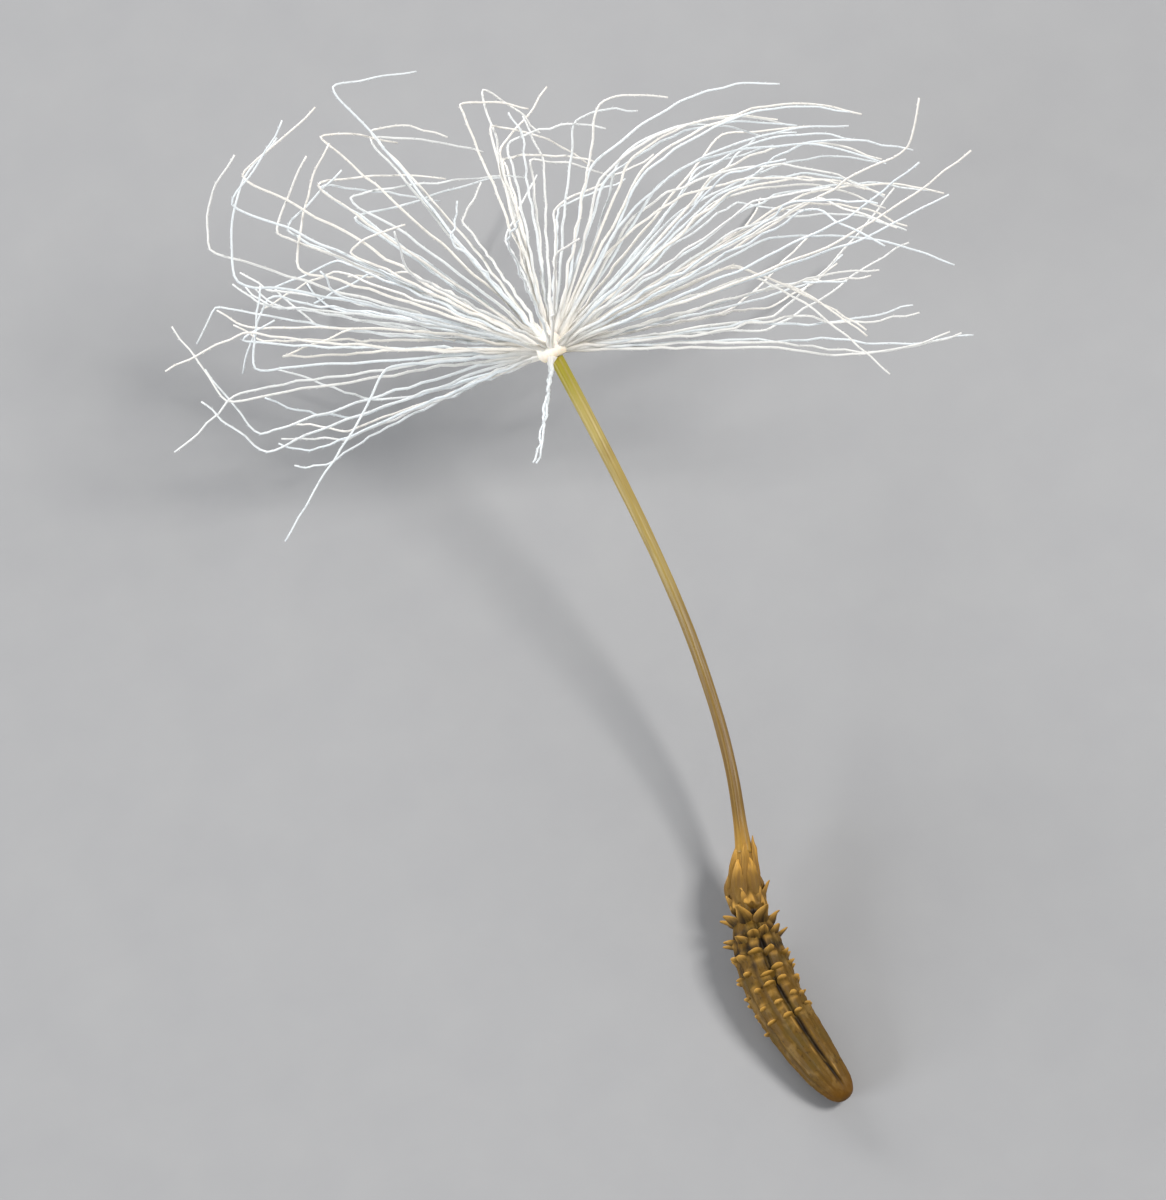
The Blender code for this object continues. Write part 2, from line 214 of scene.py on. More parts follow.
# %% Floor, lights and sky
FLOOR_SIZE = 2.0
FLOOR_DROP = 0.002 * MM
FLOOR_GRAIN = 900.0
FLOOR_BUMP = 0.01 * MM
FLOOR_TONES = ((0.32, 0.32, 0.33, 1), (0.35, 0.35, 0.355, 1))
SKY_COLOUR = (0.80, 0.83, 0.86, 1)
SKY_STRENGTH = 0.35


def make_floor():
    """A wide plain sheet under the seed."""
    bm = bmesh.new()
    bmesh.ops.create_grid(bm, x_segments=1, y_segments=1, size=FLOOR_SIZE)
    bmesh.ops.translate(bm, verts=bm.verts, vec=(0, 0, -FLOOR_DROP))
    mesh = bpy.data.meshes.new("floor")
    bm.to_mesh(mesh)
    bm.free()
    floor = bpy.data.objects.new("floor", mesh)
    bpy.context.scene.collection.objects.link(floor)
    look = Look("floor", Roughness=0.9)
    grain = look.cloud(look.node("ShaderNodeTexCoord", {}, {}, "Object"), FLOOR_GRAIN)
    tone = look.mix(grain, *FLOOR_TONES)
    floor.data.materials.append(look.finish(grain, FLOOR_BUMP, Base_Color=tone))


def soft_light(name, place, size, power, tint):
    """A square light that faces the seed. Its place is counted from the aim, in metres."""
    lamp = bpy.data.objects.new(name, bpy.data.lights.new(name, "AREA"))
    lamp.data.shape = "SQUARE"
    lamp.data.size = size
    lamp.data.energy = power
    lamp.data.color = tint
    lamp.location = aim + place
    lamp.rotation_euler = place.to_track_quat("Z", "Y").to_euler()
    bpy.context.scene.collection.objects.link(lamp)
    print(name, "light stands", round(place.length / MM), "mm from the aim")


make_floor()
key_place = right * 0.14 + up * 0.10 + back * 0.17
soft_light("key", key_place, size=0.07, power=0.54, tint=(1.0, 0.98, 0.95))
soft_light("rim", Vector((-0.05, 0.26, 0.065)), size=0.12, power=0.70, tint=(1.0, 1.0, 1.0))
soft_light("side", Vector((-0.25, -0.03, 0.07)), size=0.12, power=0.56, tint=(0.94, 0.97, 1.0))

sky = bpy.data.worlds.new("sky")
sky.use_nodes = True
sky.node_tree.nodes["Background"].inputs["Color"].default_value = SKY_COLOUR
sky.node_tree.nodes["Background"].inputs["Strength"].default_value = SKY_STRENGTH
bpy.context.scene.world = sky

# %% [markdown]
# ## The seed's centre line
#
# All three organs grow along one line. It is a smooth curve through a few points, the same ones
# as in the CAD model, so that each finer piece stays where its node is. The line is read by the
# distance along it.

# %% The centre line
# Places in millimetres, from the achene's lower tip to where the bristles meet.
SEED_LINE = (
    (0.26, -0.95, 0.235),
    (0.015, 0.00, 0.325),
    (-0.13, 0.95, 0.43),
    (-0.08, 1.80, 0.57),
    (0.09, 2.65, 0.69),
    (0.30, 3.25, 0.82),
    (0.60, 4.70, 1.26),
    (0.70, 6.40, 1.80),
    (0.62, 8.00, 2.33),
    (0.46, 9.45, 2.85),
    PAPPUS_PLACE,
)
LINE_STEPS = 24
ACHENE_LENGTH = 4.18 * MM
JOINT_GAP = 0.01 * MM


def smooth_curve(points, steps):
    """Points along a smooth curve that passes through the given ones."""
    ends = [2 * points[0] - points[1], *points, 2 * points[-1] - points[-2]]
    curve = []
    for before, start, end, after in zip(ends, ends[1:], ends[2:], ends[3:]):
        for step in range(steps):
            t = step / steps
            bend_in = (end - before) * 0.5
            bend_out = (after - start) * 0.5
            offset = end - start
            curve.append(
                start
                + bend_in * t
                + (3 * offset - 2 * bend_in - bend_out) * t**2
                + (bend_in + bend_out - 2 * offset) * t**3
            )
    return [*curve, points[-1].copy()]


class Line:
    """A smooth line through points, read by the distance along it."""

    def __init__(self, points):
        self.points = smooth_curve(points, LINE_STEPS)
        self.runs = [0.0]
        for start, end in zip(self.points, self.points[1:]):
            self.runs.append(self.runs[-1] + (end - start).length)
        self.length = self.runs[-1]

    def at(self, run):
        """The point at this distance, and the line's direction there."""
        last = len(self.points) - 2
        index = next((i for i in range(last) if self.runs[i + 1] > run), last)
        start, end = self.points[index], self.points[index + 1]
        share = (run - self.runs[index]) / (self.runs[index + 1] - self.runs[index])
        return start.lerp(end, share), (end - start).normalized()


def side_and_top(direction):
    """Two directions square to this one: level to the right of it, and upwards."""
    side = direction.cross(Z_AXIS).normalized()
    return side, side.cross(direction)


seed = Line([Vector(point) * MM for point in SEED_LINE])
print("centre line:", round(seed.length / MM, 2), "mm")

# %% [markdown]
# ## Tubes that know their own skin
#
# Every organ here is a long tube: a body, a stalk, a thorn or a hair. A tube is made as a grower
# would make it, from one small face that is extruded ring after ring. Each point also keeps three
# notes for the materials: its skin coordinates, in which the tube is straight and measured in
# millimetres, a shade, and a tip note. On the achene the shade note carries painted shade and the
# tip note painted highlight. On the beak the shade note marks the rib crests, and on a bristle it
# holds the bristle's own tone, while the tip note tells how far along the bristle a point is. A
# pattern that reads the skin coordinates follows the tube round its bends and has no seam.

# %% Growing and cutting a tube
Dot = namedtuple("Dot", "place skin shade tip")


def new_mesh():
    """An empty mesh with the three notes on its points."""
    bm = bmesh.new()
    bm.verts.layers.float_vector.new("skin")
    bm.verts.layers.float.new("shade")
    bm.verts.layers.float.new("tip")
    return bm


def note(bm, vert, dot):
    """Puts a point in its place and writes its notes."""
    vert.co = dot.place
    vert[bm.verts.layers.float_vector["skin"]] = dot.skin
    vert[bm.verts.layers.float["shade"]] = dot.shade
    vert[bm.verts.layers.float["tip"]] = dot.tip


def tube(rings):
    """A closed mesh extruded from the first ring of points through all the others."""
    bm = new_mesh()
    face = bm.faces.new([bm.verts.new(dot.place) for dot in rings[0]])
    for vert, dot in zip(face.verts, rings[0]):
        note(bm, vert, dot)
    for ring in rings[1:]:
        face = bmesh.ops.extrude_discrete_faces(bm, faces=[face])["faces"][0]
        for loop, dot in zip(face.loops, ring):
            note(bm, loop.vert, dot)
    bmesh.ops.holes_fill(bm, edges=[edge for edge in bm.edges if edge.is_boundary])
    bmesh.ops.recalc_face_normals(bm, faces=bm.faces)
    return bm


def absorb(whole, part):
    """Moves the faces of one mesh into another."""
    mesh = bpy.data.meshes.new("part")
    part.to_mesh(mesh)
    part.free()
    whole.from_mesh(mesh)
    bpy.data.meshes.remove(mesh)


def cut_flat(bm, place, ahead):
    """Cuts away what lies behind the plane at this place, and closes the cut."""
    cut = bmesh.ops.bisect_plane(
        bm,
        geom=[*bm.verts, *bm.edges, *bm.faces],
        plane_co=place,
        plane_no=ahead,
        clear_inner=True,
    )
    rim = [edge for edge in cut["geom_cut"] if isinstance(edge, bmesh.types.BMEdge)]
    bmesh.ops.holes_fill(bm, edges=rim)
    bmesh.ops.recalc_face_normals(bm, faces=bm.faces)


def circle(count, turn=0.0):
    """The angles of a ring of points."""
    return [turn + math.tau * i / count for i in range(count)]


def add_piece(name, bm, look, node):
    """Makes the mesh a smooth object that stands for a CAD node."""
    mesh = bpy.data.meshes.new(name)
    bm.to_mesh(mesh)
    bm.free()
    mesh.shade_smooth()
    mesh.materials.append(look)
    piece = bpy.data.objects.new(name, mesh)
    bpy.context.scene.collection.objects.link(piece)
    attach(piece, "root")
    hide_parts(node)
    mesh.calc_loop_triangles()
    print(name, "has", len(mesh.loop_triangles), "triangles")
    return piece


# %% [markdown]
# ## The achene's body
#
# The achene is the dry fruit itself, a ribbed body about 3 mm long with a short cone on top. It
# could be sculpted, but its form follows rules: a radius that changes along its length, and five
# deep and five shallow grooves round it. So each ring of the tube is worked out from those rules,
# with four finer ones on top: thin ribs, rungs across the ridges, a lip under the cone, and a
# slight unevenness.

# %% The achene's measures
# Each row is a distance from the lower tip and the radius there, in millimetres.
ACHENE_PROFILE = (
    (0.00, 0.07),
    (0.04, 0.145),
    (0.14, 0.215),
    (0.30, 0.270),
    (0.55, 0.322),
    (0.95, 0.364),
    (1.45, 0.393),
    (2.10, 0.402),
    (2.55, 0.385),
    (2.85, 0.345),
    (3.08, 0.285),
    (3.24, 0.222),
    (3.33, 0.264),
    (3.50, 0.258),
    (3.72, 0.232),
    (3.92, 0.192),
    (4.06, 0.164),
    (4.18, 0.146),
)
PROFILE_STEPS = 11
ACHENE_SIDES = 160
ACHENE_THICKNESS = 0.94
# How deep each groove round the body cuts, as a share of the radius.
GROOVES = (0.15, 0.05, 0.06, 0.05, 0.11, 0.05, 0.11, 0.05, 0.08, 0.04)
GROOVE_WIDTH = math.radians(6.5)
FIRST_GROOVE = math.radians(84)
GROOVE_FADE_IN = 0.25 * MM
GROOVE_END = 3.3 * MM
GROOVE_FADE_OUT = 0.5 * MM
GROOVE_LEAST = 0.25


def groove_depth(angle):
    """How deep the grooves cut at this angle round the achene, as a share of its radius."""
    depth = 0.0
    for number, cut in enumerate(GROOVES):
        centre = FIRST_GROOVE + math.tau * number / len(GROOVES)
        away = (angle - centre + math.pi) % math.tau - math.pi
        depth += cut * math.exp(-((away / GROOVE_WIDTH) ** 2))
    return depth


def groove_share(run):
    """The grooves fade at the round tip and below the cone."""
    fade_in = min(1.0, run / GROOVE_FADE_IN)
    fade_out = min(1.0, max(GROOVE_LEAST, (GROOVE_END - run) / GROOVE_FADE_OUT))
    return fade_in * fade_out


def achene_reach(radius, angle, run):
    """The distance from the centre line to the grooved surface."""
    return radius * (1 - groove_share(run) * groove_depth(angle))


# %% [markdown]
# The rungs are the low cross-wise bumps between the teeth. Each ridge has its own set, so the
# rungs of two neighbours don't line up. They are strongest where the teeth stand and fade out
# towards the smooth lower end.

# %% The rungs
RUNG_SPACING = 0.27 * MM
RUNG_HEIGHT = 0.020 * MM
RUNG_SHARPNESS = 3
RUNG_FADE_IN = (0.8 * MM, 1.7 * MM)
RUNG_FADE_OUT = (2.9 * MM, 3.1 * MM)
RUNG_SHIFT = 2
# The rungs' crests get a painted highlight of this strength.
RUNG_HIGHLIGHT = 0.5
# Each ridge reads the noise at a place of its own, one stride from its neighbour's in this row.
RIDGE_STRIDE = 3.7
RIDGE_ROW = 1.3


def rise(value, low, high):
    """0 below the low value, 1 above the high one, and smooth between them."""
    share = min(1.0, max(0.0, (value - low) / (high - low)))
    return share * share * (3 - 2 * share)


def rung(angle, run):
    """How high the rungs stand here, from 0 to 1."""
    place = (angle - FIRST_GROOVE) / math.tau * len(GROOVES)
    ridge = math.floor(place)
    crest = abs(math.sin(math.pi * (place - ridge)))
    shift = noise.noise(Vector((ridge % len(GROOVES) * RIDGE_STRIDE, RIDGE_ROW, 0.0)))
    wave = 0.5 + 0.5 * math.cos(math.tau * (run / RUNG_SPACING + RUNG_SHIFT * shift))
    window = rise(run, *RUNG_FADE_IN) * (1 - rise(run, *RUNG_FADE_OUT))
    return crest * window * wave**RUNG_SHARPNESS


# %% [markdown]
# Just above the neck the cone starts with a thin ragged lip, which runs round it in five low
# arches. Its upper side slopes off gently, and its lower edge is sharp.

# %% The lip
LIP_PLACE = 3.31 * MM
LIP_SCALLOP = 0.045 * MM
LIP_COUNT = 5
LIP_SKEW = 0.6
LIP_RAGGED = 0.07 * MM
LIP_LUMPS = 3.4
LIP_ROW = 5.0
LIP_EDGE = 0.035 * MM
LIP_SLOPE = 0.16 * MM
LIP_HEIGHT = 0.034 * MM
LIP_LEVEL = 0.7
LIP_SWING = 0.6
# The lip gets a painted highlight of this strength, a golden rim.
LIP_HIGHLIGHT = 1.3


def lip(angle, run):
    """How high the scalloped lip at the cone's foot stands here, from 0 to about 1."""
    arch = abs(math.cos(LIP_COUNT / 2 * (angle - FIRST_GROOVE) + LIP_SKEW * math.sin(2 * angle)))
    spot = Vector((LIP_LUMPS * math.cos(angle), LIP_LUMPS * math.sin(angle), LIP_ROW))
    ragged = noise.noise(spot)
    away = run - LIP_PLACE - LIP_SCALLOP * arch - LIP_RAGGED * ragged
    width = LIP_SLOPE if away > 0 else LIP_EDGE
    return math.exp(-((away / width) ** 2)) * (LIP_LEVEL + LIP_SWING * ragged)


# %% [markdown]
# Two masks are worked out for the material: painted shade in the hollows between the rings of
# teeth, and a painted highlight in patches along both sides of the deep groove on top.

# %% Hollows and brinks
# The shadows between the rings of teeth: the place of each in millimetres, and how dark it is.
HOLLOWS = ((3.56, 0.45), (3.19, 0.95), (2.90, 0.55), (2.64, 0.65), (2.38, 0.35))
HOLLOW_WIDTH = 0.08 * MM
BRINK_PLACE = 1.7
BRINK_WIDTH = 0.5
BRINK_LUMPS = 3.0
BRINK_PATCHES = (-0.2, 0.4)
# The brinks get a painted highlight of this strength.
BRINK_HIGHLIGHT = 0.5


def hollow(run):
    """How deep in shadow the skin lies between the rings of teeth, from 0 to 1."""
    return sum(
        painted_darkness * math.exp(-(((run - place * MM) / HOLLOW_WIDTH) ** 2)) for place, painted_darkness in HOLLOWS
    )


def brink(angle, run):
    """How near the skin is to the edges of the deep groove, from 0 to 1."""
    away = abs((angle - FIRST_GROOVE + math.pi) % math.tau - math.pi) / GROOVE_WIDTH
    patch = rise(noise.noise(Vector((angle, 0.0, BRINK_LUMPS * run / MM))), *BRINK_PATCHES)
    return math.exp(-(((away - BRINK_PLACE) / BRINK_WIDTH) ** 2)) * patch * groove_share(run)


# %% [markdown]
# The body is put together here. Its fine relief fades out at both ends, where the achene
# rounds off and where it meets the beak, so that both stay as the CAD model has them.

# %% The whole body
RIB_COUNT = 40
RIB_HEIGHT = 0.003 * MM
UNEVEN_HEIGHT = 0.014 * MM
LUMPS_ROUND = 2.2
LUMPS_ALONG = 2.6
FINER_LUMPS = 3.1
FINER_SHARE = 0.4
RELIEF_FADE_IN = (0.0, 0.3 * MM)
RELIEF_FADE_OUT = (3.9 * MM, ACHENE_LENGTH)


def achene_relief(angle, run):
    """The fine relief on the grooved surface: rungs, lip, ribs and a slight unevenness."""
    ribs = RIB_HEIGHT * math.cos(RIB_COUNT * (angle - FIRST_GROOVE))
    across, upwards = LUMPS_ROUND * math.cos(angle), LUMPS_ROUND * math.sin(angle)
    spot = Vector((across, upwards, LUMPS_ALONG * run / MM))
    coarse = UNEVEN_HEIGHT * noise.noise(spot)
    uneven = coarse + FINER_SHARE * UNEVEN_HEIGHT * noise.noise(FINER_LUMPS * spot)
    fade = rise(run, *RELIEF_FADE_IN) * (1 - rise(run, *RELIEF_FADE_OUT))
    raised = RUNG_HEIGHT * rung(angle, run) + LIP_HEIGHT * lip(angle, run)
    return (raised + ribs + uneven) * fade


def radius_at(profile, run):
    """The achene's radius at this distance along it."""
    for start, end in zip(profile, profile[1:]):
        if end.x >= run:
            return start.lerp(end, (run - start.x) / (end.x - start.x)).y
    return profile[-1].y


def achene_dot(run, radius, angle):
    """A point of the achene's fine surface."""
    centre, direction = seed.at(run)
    side, top = side_and_top(direction)
    reach = achene_reach(radius, angle, run) + achene_relief(angle, run)
    place = centre + reach * (math.cos(angle) * side + ACHENE_THICKNESS * math.sin(angle) * top)
    skin = Vector((math.cos(angle) * radius, math.sin(angle) * radius, run)) / MM
    # The shade note is painted shade in the grooves and in the hollows between the rings of teeth.
    # The tip note is a painted highlight on the rungs, the lip and the brinks of the deep groove.
    groove_shade = min(1.0, groove_share(run) * groove_depth(angle) / max(GROOVES) + hollow(run))
    highlight = max(
        RUNG_HIGHLIGHT * rung(angle, run),
        LIP_HIGHLIGHT * lip(angle, run) ** 2,
        BRINK_HIGHLIGHT * brink(angle, run),
    )
    return Dot(place, skin, 1 - groove_shade, highlight)


def achene_body():
    """The body from its round tip to the top of its cone, cut flat where it rests."""
    profile = smooth_curve([Vector(pair) * MM for pair in ACHENE_PROFILE], PROFILE_STEPS)
    angles = circle(ACHENE_SIDES, FIRST_GROOVE)
    rings = [[achene_dot(run, radius, angle) for angle in angles] for run, radius in profile]
    bm = tube(rings)
    cut_flat(bm, (0, 0, 0), Z_AXIS)
    return bm, profile


# %% [markdown]
# ## Teeth and scales
#
# From a third of the way up, the achene carries rings of small bumps, then a ring of spread
# spines at the neck, upright ones round the cone's lip, and long scales that clasp the cone. All
# of them are the same thing at different sizes: a leaf-shaped plate with a blunt tip, more or
# less hollow on its inner side. A tube with a crescent for its section makes one. They stand
# where the CAD model's cones do, because the same seed draws the same numbers. A second set of
# long narrow scales, which the solids leave out, closes the cone round the foot of the beak.

# %% The shape of a tooth
TOOTH_SIDES = 12
TOOTH_STEPS = 9
TOOTH_THICKNESS = 0.36
TOOTH_CURL = 0.42
TOOTH_BASE = 0.45
TOOTH_WIDEST = 0.45
TOOTH_TIP = 0.20
TOOTH_POWER = 1.6
TOOTH_SUNK = 0.42
TOOTH_INSET = 0.10
TOOTH_KEEL = 0.24
KEEL_SHARPNESS = 6
TOOTH_UNEVEN = 0.026 * MM
TOOTH_LUMPS = 8.0
TOOTH_SKIN = 3
# A long tooth that spreads is a spine with painted shade down the middle of its faces, and one that
# hugs the cone has a keel. A short tooth is blunt, and has its own place between a narrow thick
# bead and a broad thin bar.
BUMP_TIP = 0.30
BUMP_BASE = 0.85
BUMP_CURL = 0.10
BUMP_BREADTHS = (0.75, 1.25)
BUMP_THICKNESSES = (0.38, 0.25)
BUMP_CELLS = 20.0
BUMP_POWER = 3.0
BUMP_LENGTH = 0.16 * MM
SPINE_LENGTH = 0.34 * MM
# The middles of a spreading spine's faces get painted shade. A short tooth's free part gets a
# weaker painted highlight than a long tooth's.
SPINE_SHADE = 0.8
BUMP_HIGHLIGHT = 0.80
SPREAD_LEANS = (0, 40)
# A tooth that hugs the body bulges outwards, and one that leans away curves back. Between the two
# lies a straight one, at this lean in degrees. The bend is a share of the length for each degree.
STRAIGHT_LEAN = 8.0
BEND_RATE = 0.0026

Tooth = namedtuple("Tooth", "foot points away long half_width run lean bulge")


def blend(start, end, share):
    """The value at this share of the way from the start to the end."""
    return start + (end - start) * share


def leaf_width(share, foot, tip, power):
    """A leaf's width along its length: narrow at its foot, widest in its lower half, then a tip."""
    if share < TOOTH_WIDEST:
        return 1 - (1 - foot) * (1 - share / TOOTH_WIDEST) ** 2
    return 1 - (1 - tip) * ((share - TOOTH_WIDEST) / (1 - TOOTH_WIDEST)) ** power


def tooth_mesh(tooth):
    """One leaf-shaped plate that starts inside the body and bends to its tip."""
    across = tooth.points.cross(tooth.away).normalized()
    outer = across.cross(tooth.points)
    reach = tooth.points * tooth.long
    base = tooth.foot - reach * TOOTH_SUNK - tooth.away * tooth.half_width * TOOTH_INSET
    bend = outer * tooth.long * BEND_RATE * (STRAIGHT_LEAN - tooth.lean) * tooth.bulge
    spine = rise(tooth.long, BUMP_LENGTH, SPINE_LENGTH)
    foot = blend(BUMP_BASE, TOOTH_BASE, spine)
    tip = blend(BUMP_TIP, TOOTH_TIP, spine)
    power = blend(BUMP_POWER, TOOTH_POWER, spine)
    curl = blend(BUMP_CURL, TOOTH_CURL, spine)
    bar = 0.5 + 0.5 * noise.cell(tooth.foot / MM * BUMP_CELLS)
    breadth = blend(blend(*BUMP_BREADTHS, bar), 1.0, spine)
    thickness = blend(blend(*BUMP_THICKNESSES, bar), TOOTH_THICKNESS, spine)
    spread = rise(tooth.lean, *SPREAD_LEANS)
    # A spreading spine gets painted shade in the middle of its faces, and every tooth gets a
    # painted highlight on the part that stands out of the body.
    painted_darkness = SPINE_SHADE * spine * spread
    keel = TOOTH_KEEL * spine * (1 - spread)
    highlight = blend(BUMP_HIGHLIGHT, 1.0, spine)
    rings = []
    for step in range(TOOTH_STEPS + 1):
        share = step / TOOTH_STEPS
        width = tooth.half_width * leaf_width(share, foot, tip, power)
        middle = base + reach * share + bend * math.sin(math.pi * share)
        tip_highlight = highlight * max(0.0, (share - TOOTH_SUNK) / (1 - TOOTH_SUNK))
        free = rise(share, TOOTH_SUNK, 1.0)
        ring = []
        for angle in circle(TOOTH_SIDES):
            edge = math.cos(angle) ** 2
            fold = keel * max(0.0, math.sin(angle)) ** KEEL_SHARPNESS
            lift = math.sin(angle) * thickness + fold - edge * curl
            place = middle + (across * math.cos(angle) * breadth + outer * lift) * width
            place += (across + outer) * TOOTH_UNEVEN * share * noise.noise(place / MM * TOOTH_LUMPS)
            run = tooth.run + tooth.long * (share - TOOTH_SUNK)
            over = TOOTH_SKIN * math.cos(angle) * width
            skin = Vector((over, TOOTH_SKIN * lift * width, run)) / MM
            # The tip note is painted highlight, on the part outside the body and on a long tooth's
            # edges. The shade note is painted shade in a spine's middle.
            lit = max(tip_highlight, spine * edge**2 * free**0.5)
            ring.append(Dot(place, skin, 1 - painted_darkness * (1 - edge), lit))
        rings.append(ring)
    return tube(rings)


# %% [markdown]
# Each ring has its teeth at even steps round the body, and random draws then move each tooth a
# little. The order of the draws is the CAD model's, so it isn't changed.

# %% The rings of teeth
# Each row is a ring: its place in millimetres, how many teeth it has, their length and half width
# in millimetres, and their lean in degrees.
TOOTH_ROWS = (
    (3.66, 5, 0.64, 0.140, -10),
    (3.40, 6, 0.46, 0.085, 20),
    (3.03, 7, 0.56, 0.135, 44),
    (2.76, 10, 0.36, 0.104, 48),
    (2.49, 10, 0.25, 0.100, 44),
    (2.23, 10, 0.20, 0.096, 42),
    (1.98, 10, 0.17, 0.092, 40),
    (1.73, 10, 0.15, 0.090, 40),
    (1.47, 10, 0.14, 0.086, 40),
)
TOOTH_ANGLE_JITTER = math.radians(7)
TOOTH_PLACE_JITTER = 0.06
TOOTH_LENGTHS = (0.75, 1.15)
TOOTH_LEAN_JITTER = 9.0
TOOTH_SEED = 11
TOOTH_CLEARANCE = 0.03 * MM
# The narrow scales that close the cone stand between the broad ones, and keep close to the beak.
INNER_ROW = (3.94, 5, 0.84, 0.080, -9.0)
INNER_UNRULY = 0.1
INNER_BULGE = 0.5
INNER_FIRST = 1.1


def grow_ring(bm, profile, draw, row, first, unruly, bulge):
    """One ring of teeth, each a little out of its place, and how many there are."""
    place, count, length, half_width, lean = row
    made = 0
    for number in range(count):
        angle = FIRST_GROOVE + math.tau * (number + first) / count
        angle += unruly * draw.uniform(-TOOTH_ANGLE_JITTER, TOOTH_ANGLE_JITTER)
        run = (place + unruly * draw.uniform(-TOOTH_PLACE_JITTER, TOOTH_PLACE_JITTER)) * MM
        long = length * draw.uniform(*TOOTH_LENGTHS) * MM
        slant = lean + unruly * draw.uniform(-TOOTH_LEAN_JITTER, TOOTH_LEAN_JITTER)
        tilt = math.radians(slant)
        centre, direction = seed.at(run)
        side, top = side_and_top(direction)
        reach = achene_reach(radius_at(profile, run), angle, run)
        foot = centre + reach * (math.cos(angle) * side + ACHENE_THICKNESS * math.sin(angle) * top)
        away = (foot - centre).normalized()
        points = math.cos(tilt) * direction + math.sin(tilt) * away
        if (foot + points * long).z < TOOTH_CLEARANCE:
            continue
        tooth = Tooth(foot, points, away, long, half_width * MM, run, slant, bulge)
        absorb(bm, tooth_mesh(tooth))
        made += 1
    return made


def add_teeth(bm, profile):
    """All the rings of teeth in the CAD model's order, and then the inner scales."""
    draw = random.Random(TOOTH_SEED)
    made = sum(
        grow_ring(bm, profile, draw, row, first=0.5, unruly=1.0, bulge=1.0) for row in TOOTH_ROWS
    )
    inner = grow_ring(bm, profile, draw, INNER_ROW, INNER_FIRST, INNER_UNRULY, INNER_BULGE)
    print(made, "teeth and scales, and", inner, "inner scales")


# %% [markdown]
# ## The achene's colours
#
# A ripe achene is olive brown with golden ridges, orange at its lower tip and lighter on the cone.
# Painted shade darkens its grooves, the hollows between its rings of teeth and the middles of its
# spines, and a painted highlight lightens its rungs, its lip, the brinks of the deep groove and the
# edges and tips of its teeth. The shade note tells ridges from the painted shade of grooves and
# hollows, the tip note holds the painted highlight, and the skin coordinates tell how far along a
# point is, so these become masks between a few colours. Noise that is stretched along the body
# gives the fine fibres of the dry skin, in the colour and in the bump, and coarser streaks on the
# scales of the cone. A step turns a noise into patches: there is no patch below its first number
# and a full one above its second, and what multiplies it is the patches' strength.

# %% The achene's material
# Painted shade, for the grooves and the hollows between the rings of teeth.
PAINTED_SHADE_BROWN = paint(26, 16, 4)
OLIVE_RIDGE = paint(98, 70, 18)
OLIVE_BLOTCH = paint(86, 67, 22)
GOLD_FIBRE = paint(122, 90, 28)
PALE_MOTTLE = paint(140, 110, 58)
DARK_SPECK = paint(42, 26, 6)
ORANGE_END = paint(98, 62, 8)
TAN_NECK = paint(124, 92, 36)
GOLD_CONE = paint(154, 114, 46)
# Painted highlight, for the rungs, the lip, the groove's brinks and the teeth's edges and tips.
PAINTED_HIGHLIGHT = paint(204, 154, 70)
BROWN_STREAK = paint(104, 74, 34)
# Two faces that meet more steeply than this keep a sharp edge between them.
SHARP_ANGLE = math.radians(60)


def achene_look():
    look = Look("achene", Roughness=0.55, Specular_IOR_Level=0.18)
    skin = look.attribute("skin", "Vector")
    ridge = look.attribute("shade")
    tip = look.attribute("tip")
    along = look.along(skin)
    fibres = look.cloud(look.stretch(skin, (26.0, 26.0, 2.4)), scale=1.0, detail=4.0)
    streaks = look.cloud(look.stretch(skin, (9.0, 9.0, 1.8)), scale=1.0, detail=3.0)
    mottles = look.cloud(look.stretch(skin, (7.0, 7.0, 4.5)), scale=1.0, detail=3.0)
    blotches = look.cloud(skin, scale=3.2, detail=4.0)
    specks = look.cloud(skin, scale=17.0, detail=2.0)
    # Painted shade darkens the grooves, the hollows between the rings of teeth and the middles of
    # the spines.
    colour = look.mix(ridge.step(0.15, 0.95), PAINTED_SHADE_BROWN, OLIVE_RIDGE)
    colour = look.mix(blotches.step(0.42, 0.68) * 0.7, colour, OLIVE_BLOTCH)
    colour = look.mix(fibres.step(0.52, 0.75) * 0.45, colour, GOLD_FIBRE)
    colour = look.mix(mottles.step(0.52, 0.66) * ridge * 0.45, colour, PALE_MOTTLE)
    colour = look.mix(specks.step(0.60, 0.72) * 0.5, colour, DARK_SPECK)
    colour = look.mix((1 - along.step(0.05, 0.45)) * 0.7, colour, ORANGE_END)
    colour = look.mix(along.step(3.22, 3.45) * 0.6, colour, TAN_NECK)
    colour = look.mix(along.step(3.55, 4.0) * 0.7, colour, GOLD_CONE)
    # A painted highlight lightens the rungs, the lip, the brinks of the deep groove and the edges
    # and tips of the teeth.
    colour = look.mix(tip.step(0.1, 0.9) * ridge * 0.9, colour, PAINTED_HIGHLIGHT)
    colour = look.mix(streaks.step(0.44, 0.62) * along.step(3.2, 3.5) * 0.5, colour, BROWN_STREAK)
    relief = fibres * 0.6 + specks * 0.4
    rough = 0.42 + fibres * 0.3
    return look.finish(relief, distance=0.012 * MM, Base_Color=colour, Roughness=rough)


body, body_profile = achene_body()
add_teeth(body, body_profile)
achene = add_piece("achene_ribbed", body, achene_look(), "achene")
achene.data.set_sharp_from_angle(angle=SHARP_ANGLE)

# %% [markdown]
# ## The beak
#
# The beak is the thin stalk that lifts the pappus above the fruit. Seen close it isn't a plain
# cylinder: it has fine lengthwise ribs and a slight unevenness, and its colour runs from brown at
# the achene through straw to olive under the pappus.

